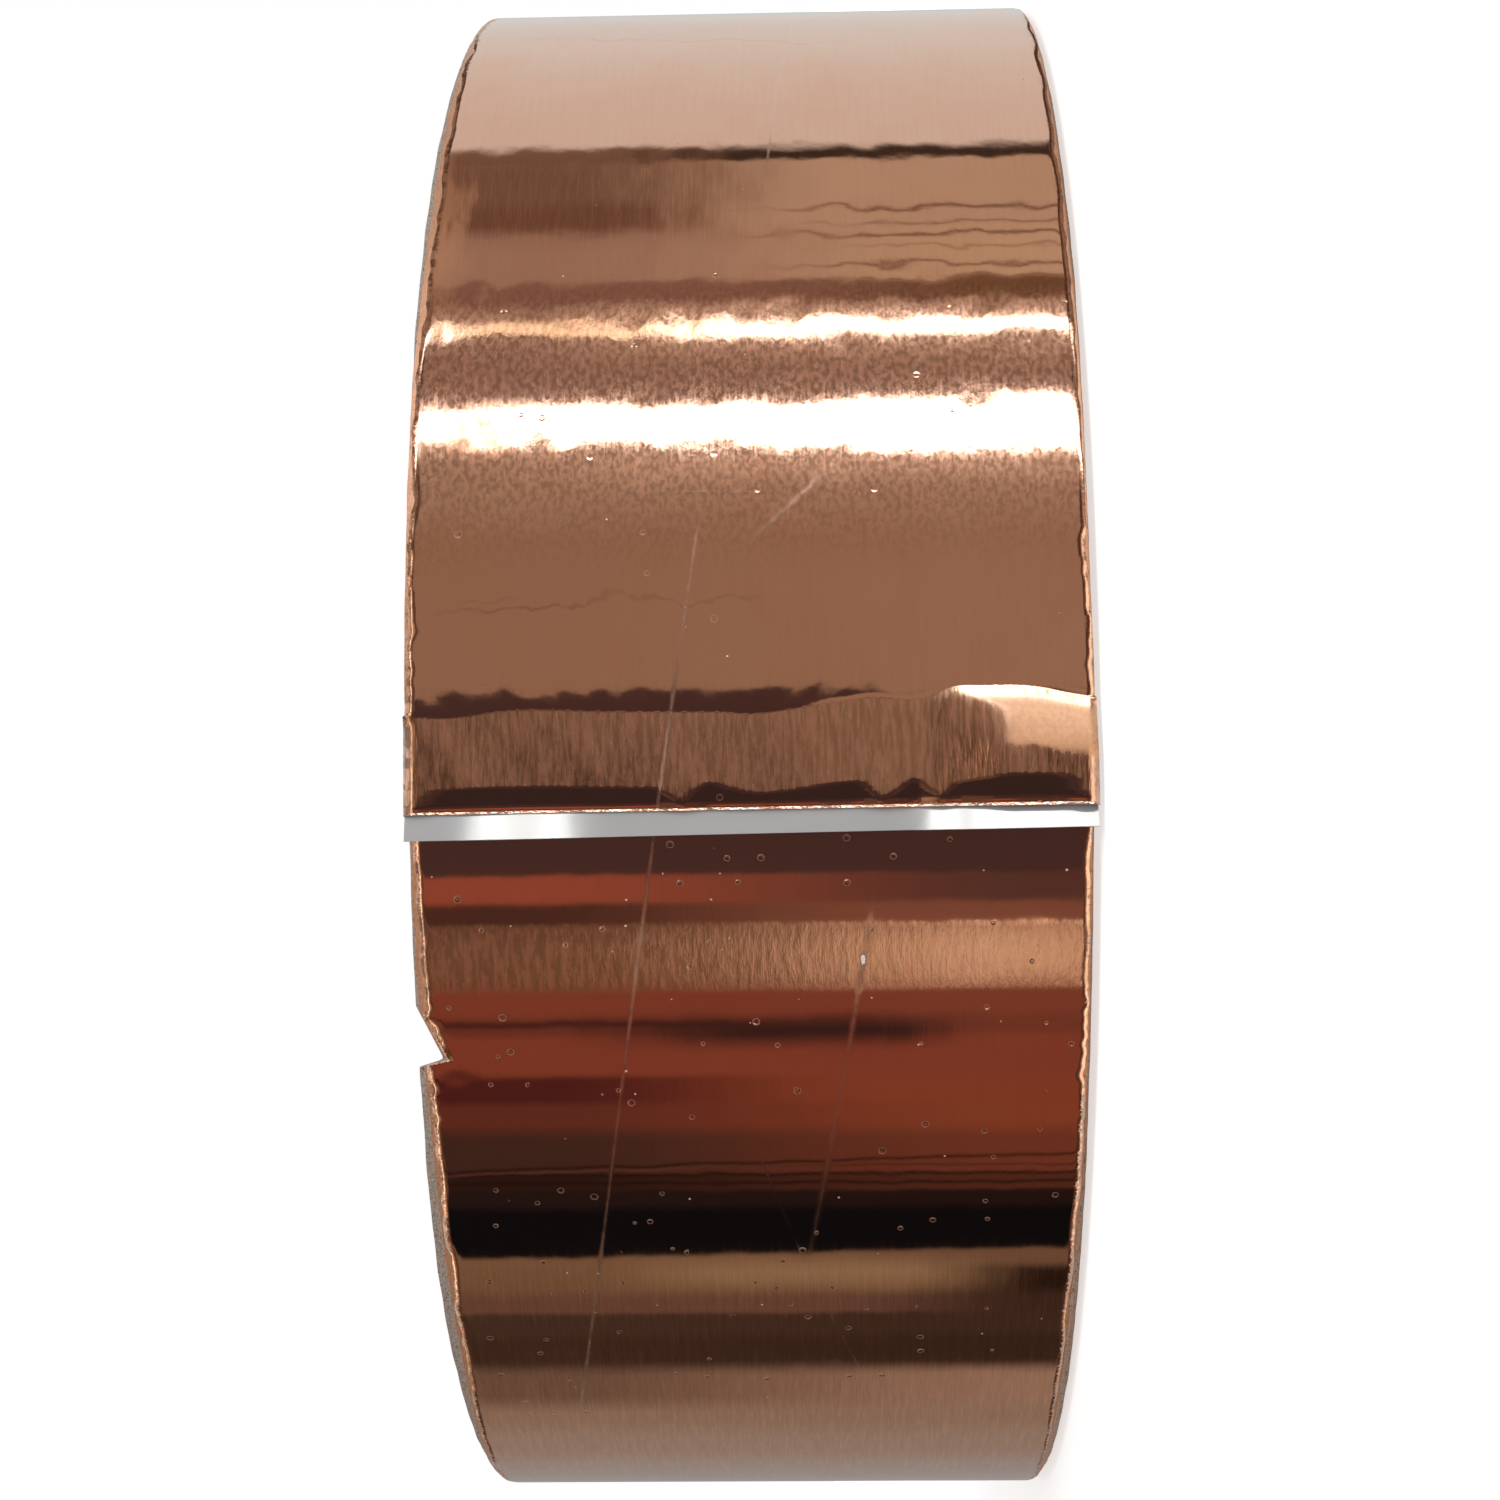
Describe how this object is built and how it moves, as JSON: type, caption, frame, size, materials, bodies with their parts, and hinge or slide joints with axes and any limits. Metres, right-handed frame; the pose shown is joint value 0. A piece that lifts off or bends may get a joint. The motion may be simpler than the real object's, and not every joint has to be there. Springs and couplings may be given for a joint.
{
  "type": "copper tape roll",
  "caption": "Roll of adhesive-backed copper foil tape wound with its release liner on a cardboard core that slips over a hub.",
  "frame": {"origin": "middle of the core's bore, on the roll's axis and half way along it", "axes": "+Z along the roll's axis and up as the roll lies on its end, -Y towards the free end of the tape, +X the way that the tape winds inwards from its free end"},
  "size_m": [0.1443, 0.1454, 0.0508],
  "materials": {
    "core_board": "matt grey-brown board",
    "copper_foil": "bright rolled copper foil, lightly scratched",
    "liner_paper": "white paper with a glossy release coat"
  },
  "bodies": {
    "root": {"core": "core_board", "copper_tape": "copper_foil", "release_liner": "liner_paper"}
  },
  "joints": []
}
